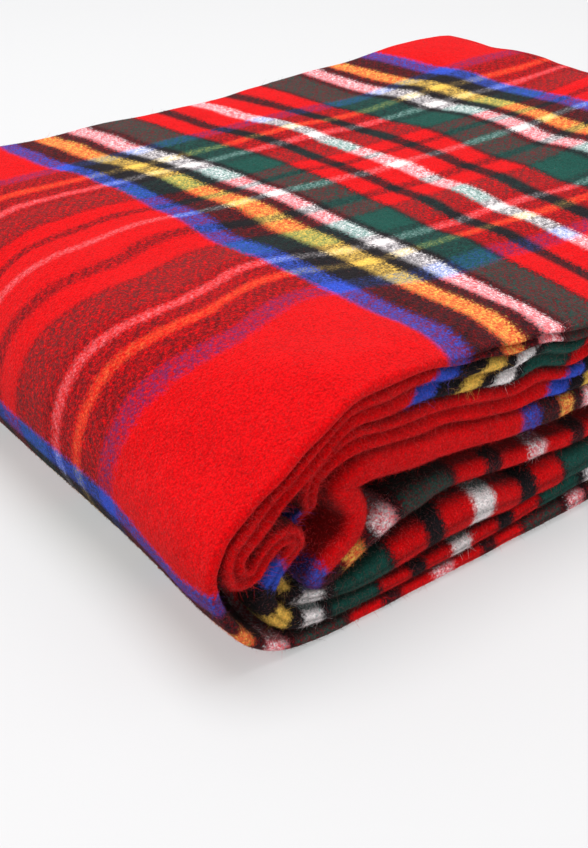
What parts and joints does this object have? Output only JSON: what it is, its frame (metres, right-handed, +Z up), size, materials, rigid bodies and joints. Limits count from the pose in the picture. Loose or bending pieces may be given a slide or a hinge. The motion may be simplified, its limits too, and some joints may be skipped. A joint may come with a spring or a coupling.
{
  "type": "folded camp blanket",
  "caption": "Brushed wool tartan camp blanket folded into a flat rectangular stack: a rounded spine fold on one side, folded leaf edges along the front, and a top half that opens like a book.",
  "frame": {"origin": "bottom centre of the folded blanket's bounding box, on the surface it lies on", "axes": "+Z up; +X from the spine fold to the far end, the longest way; -Y is the front, where the folded leaf edges show"},
  "size_m": [0.43, 0.325, 0.1053],
  "materials": {
    "top_leaf_1": "brushed wool twill, red ground of a red, blue, green, black, yellow and white tartan",
    "top_leaf_2": "brushed wool twill, red ground of a red, blue, green, black, yellow and white tartan",
    "top_leaf_3": "brushed wool twill, red ground of a red, blue, green, black, yellow and white tartan",
    "top_leaf_4": "brushed wool twill, red ground of a red, blue, green, black, yellow and white tartan",
    "top_back_crease_outer": "brushed wool twill, red ground of a red, blue, green, black, yellow and white tartan",
    "top_back_crease_inner": "brushed wool twill, red ground of a red, blue, green, black, yellow and white tartan",
    "end_fold_outer": "brushed wool twill, red ground of a red, blue, green, black, yellow and white tartan",
    "end_fold_inner": "brushed wool twill, red ground of a red, blue, green, black, yellow and white tartan",
    "end_back_crease": "brushed wool twill, red ground of a red, blue, green, black, yellow and white tartan",
    "base_leaf_1": "brushed wool twill, red ground of a red, blue, green, black, yellow and white tartan",
    "base_leaf_2": "brushed wool twill, red ground of a red, blue, green, black, yellow and white tartan",
    "base_leaf_3": "brushed wool twill, red ground of a red, blue, green, black, yellow and white tartan",
    "base_leaf_4": "brushed wool twill, red ground of a red, blue, green, black, yellow and white tartan",
    "base_back_crease_outer": "brushed wool twill, red ground of a red, blue, green, black, yellow and white tartan",
    "base_back_crease_inner": "brushed wool twill, red ground of a red, blue, green, black, yellow and white tartan",
    "spine_fold_1": "brushed wool twill, red ground of a red, blue, green, black, yellow and white tartan",
    "spine_fold_2": "brushed wool twill, red ground of a red, blue, green, black, yellow and white tartan",
    "spine_fold_3": "brushed wool twill, red ground of a red, blue, green, black, yellow and white tartan",
    "spine_fold_4": "brushed wool twill, red ground of a red, blue, green, black, yellow and white tartan",
    "spine_back_crease_outer": "brushed wool twill, red ground of a red, blue, green, black, yellow and white tartan",
    "spine_back_crease_inner": "brushed wool twill, red ground of a red, blue, green, black, yellow and white tartan"
  },
  "bodies": {
    "base_half": {"base_leaf_1": "base_leaf_1", "base_leaf_2": "base_leaf_2", "base_leaf_3": "base_leaf_3", "base_leaf_4": "base_leaf_4", "base_back_crease_outer": "base_back_crease_outer", "base_back_crease_inner": "base_back_crease_inner", "spine_fold_1": "spine_fold_1", "spine_fold_2": "spine_fold_2", "spine_fold_3": "spine_fold_3", "spine_fold_4": "spine_fold_4", "spine_back_crease_outer": "spine_back_crease_outer", "spine_back_crease_inner": "spine_back_crease_inner"},
    "top_half": {"top_leaf_1": "top_leaf_1", "top_leaf_2": "top_leaf_2", "top_leaf_3": "top_leaf_3", "top_leaf_4": "top_leaf_4", "top_back_crease_outer": "top_back_crease_outer", "top_back_crease_inner": "top_back_crease_inner", "end_fold_outer": "end_fold_outer", "end_fold_inner": "end_fold_inner", "end_back_crease": "end_back_crease"}
  },
  "joints": [
    {"name": "spine_opening", "type": "hinge", "parent": "base_half", "child": "top_half", "pos_m": [-0.16185, 0, 0.04677], "axis": [0, -1, 0], "range_deg": [0, 177], "deforming": ["spine_fold_1", "spine_fold_2", "spine_fold_3", "spine_fold_4", "spine_back_crease_outer", "spine_back_crease_inner"]}
  ]
}
